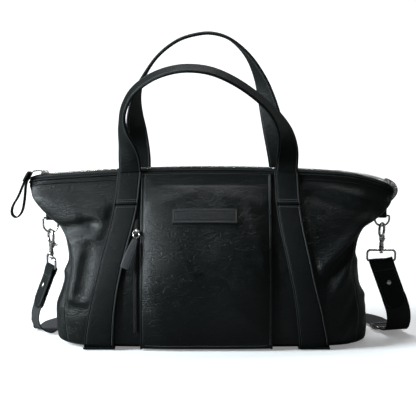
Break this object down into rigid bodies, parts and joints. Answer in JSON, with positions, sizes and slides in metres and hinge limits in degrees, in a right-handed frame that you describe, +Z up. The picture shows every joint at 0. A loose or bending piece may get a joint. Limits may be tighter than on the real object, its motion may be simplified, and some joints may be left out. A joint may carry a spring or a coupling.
{
  "type": "diaper bag",
  "caption": "Soft leather weekender-style diaper bag with zipped mouth, zipped front pocket, arched carrying handles and a clip-on webbing shoulder strap.",
  "frame": {"origin": "on the floor under the middle of the whole object's footprint, shoulder strap included", "axes": "+X towards the zip's closed end, the bag's long direction; +Y to the back; +Z up"},
  "size_m": [0.6294, 0.2817, 0.4773],
  "materials": {
    "shell_leather": "smooth lightly grained black leather, semi-matte",
    "strap_leather": "smooth black leather with turned, stitched edges",
    "trim_leather": "dark grey leather, matte",
    "lining_fabric": "plain woven grey lining",
    "webbing": "ribbed black woven webbing",
    "zip_tape": "black herringbone zip tape",
    "nickel": "polished nickel-plated metal",
    "board": "stiff black base board"
  },
  "bodies": {
    "bag": {"front_panel": "shell_leather", "rear_panel": "shell_leather", "left_gusset": "shell_leather", "right_gusset": "shell_leather", "base_panel": "shell_leather", "front_pocket_panel": "shell_leather", "base_board": "board", "lining": "lining_fabric", "inner_slip_pocket": "lining_fabric", "bottle_pocket_left": "lining_fabric", "bottle_pocket_right": "lining_fabric", "zip_facing_front": "strap_leather", "zip_facing_rear": "strap_leather", "zip_end_right": "strap_leather", "front_strap_left": "strap_leather", "front_strap_right": "strap_leather", "rear_strap_left": "strap_leather", "rear_strap_right": "strap_leather", "base_strap_left": "strap_leather", "base_strap_right": "strap_leather", "front_handle_foot_left": "strap_leather", "front_handle_foot_right": "strap_leather", "rear_handle_foot_left": "strap_leather", "rear_handle_foot_right": "strap_leather", "ring_tab_left": "strap_leather", "ring_tab_right": "strap_leather", "pocket_zip_teeth": "zip_tape", "zip_tape_front": "zip_tape", "zip_tape_rear": "zip_tape", "pocket_zip_tape": "zip_tape", "zip_teeth": "nickel", "label_patch": "trim_leather"},
    "front_handle": {"front_handle": "strap_leather"},
    "rear_handle": {"rear_handle": "strap_leather"},
    "main_slider": {"main_slider": "nickel", "main_slider_under_plate": "nickel"},
    "main_pull": {"main_pull_link": "nickel", "main_pull_loop": "strap_leather"},
    "pocket_slider": {"pocket_slider": "nickel"},
    "pocket_pull": {"pocket_pull_ring": "nickel", "pocket_pull_tab": "trim_leather"},
    "ring_left": {"d_ring_left": "nickel"},
    "ring_right": {"d_ring_right": "nickel"},
    "shoulder_strap": {"webbing": "webbing", "strap_tab_left": "strap_leather", "strap_tab_right": "strap_leather", "tab_rivet_left": "nickel", "tab_rivet_right": "nickel", "strap_loop_left": "nickel", "strap_loop_right": "nickel"},
    "hook_left": {"hook_left": "nickel", "hook_rivet_left": "nickel"},
    "hook_right": {"hook_right": "nickel", "hook_rivet_right": "nickel"},
    "gate_left": {"hook_gate_left": "nickel"},
    "gate_right": {"hook_gate_right": "nickel"},
    "adjuster": {"adjuster": "nickel"}
  },
  "joints": [
    {"name": "front_handle_hinge", "type": "hinge", "parent": "bag", "child": "front_handle", "pos_m": [-0.0008, -0.0418, 0.264], "axis": [1, 0, 0], "range_deg": [-20, 75]},
    {"name": "rear_handle_hinge", "type": "hinge", "parent": "bag", "child": "rear_handle", "pos_m": [-0.0008, -0.0088, 0.2662], "axis": [1, 0, 0], "range_deg": [-85, 4]},
    {"name": "main_slider_run", "type": "hinge", "parent": "bag", "child": "main_slider", "pos_m": [-0.0008, -0.0253, -2.729], "axis": [0, 1, 0], "range_deg": [0, 8.3], "deforming": ["main_pull_loop"]},
    {"name": "main_pull_swing", "type": "hinge", "parent": "main_slider", "child": "main_pull", "pos_m": [-0.26221, -0.0253, 0.2621], "axis": [0, 1, 0], "range_deg": [0, 150]},
    {"name": "pocket_slider_run", "type": "hinge", "parent": "bag", "child": "pocket_slider", "pos_m": [-0.1151, 0.10766, 0.05804], "axis": [1, 0, 0], "range_deg": [0, 26]},
    {"name": "pocket_pull_swing", "type": "hinge", "parent": "pocket_slider", "child": "pocket_pull", "pos_m": [-0.1151, -0.09781, 0.18104], "axis": [-1, 0, 0], "range_deg": [0, 140]},
    {"name": "ring_left_swing", "type": "hinge", "parent": "bag", "child": "ring_left", "pos_m": [-0.2533, -0.0253, 0.189], "axis": [1, 0, 0.0067], "range_deg": [0, 65]},
    {"name": "ring_right_swing", "type": "hinge", "parent": "bag", "child": "ring_right", "pos_m": [0.2657, -0.0253, 0.1925], "axis": [1, 0, 0.0067], "range_deg": [0, 65]},
    {"name": "strap_swing", "type": "hinge", "parent": "ring_left", "child": "shoulder_strap", "pos_m": [-0.2533, -0.0253, 0.1665], "axis": [0.9998, 0, 0.0193], "range_deg": [0, 20]},
    {"name": "hook_left_swivel", "type": "hinge", "parent": "shoulder_strap", "child": "hook_left", "pos_m": [-0.2533, -0.0253, 0.1346], "axis": [0, 0, 1], "range_deg": [-20, 8]},
    {"name": "hook_right_swivel", "type": "hinge", "parent": "shoulder_strap", "child": "hook_right", "pos_m": [0.2657, -0.0253, 0.1446], "axis": [0, 0, 1], "range_deg": [-8, 20]},
    {"name": "gate_left_spring", "type": "hinge", "parent": "hook_left", "child": "gate_left", "pos_m": [-0.2533, -0.0253, 0.1466], "axis": [0.8829, 0.4695, 0], "range_deg": [0, 25], "stiffness_Nm_per_rad": 0.03, "springref_deg": -8.59},
    {"name": "gate_right_spring", "type": "hinge", "parent": "hook_right", "child": "gate_right", "pos_m": [0.2657, -0.0253, 0.1566], "axis": [0.8829, -0.4695, 0], "range_deg": [0, 25], "stiffness_Nm_per_rad": 0.03, "springref_deg": -8.59},
    {"name": "adjuster_slide", "type": "slide", "parent": "shoulder_strap", "child": "adjuster", "axis": [-0.331, 0.9436, 0], "range_m": [0, 0.035]}
  ],
  "couplings": [
    {"joint": "ring_right_swing", "follows": "ring_left_swing", "ratio": 1}
  ]
}
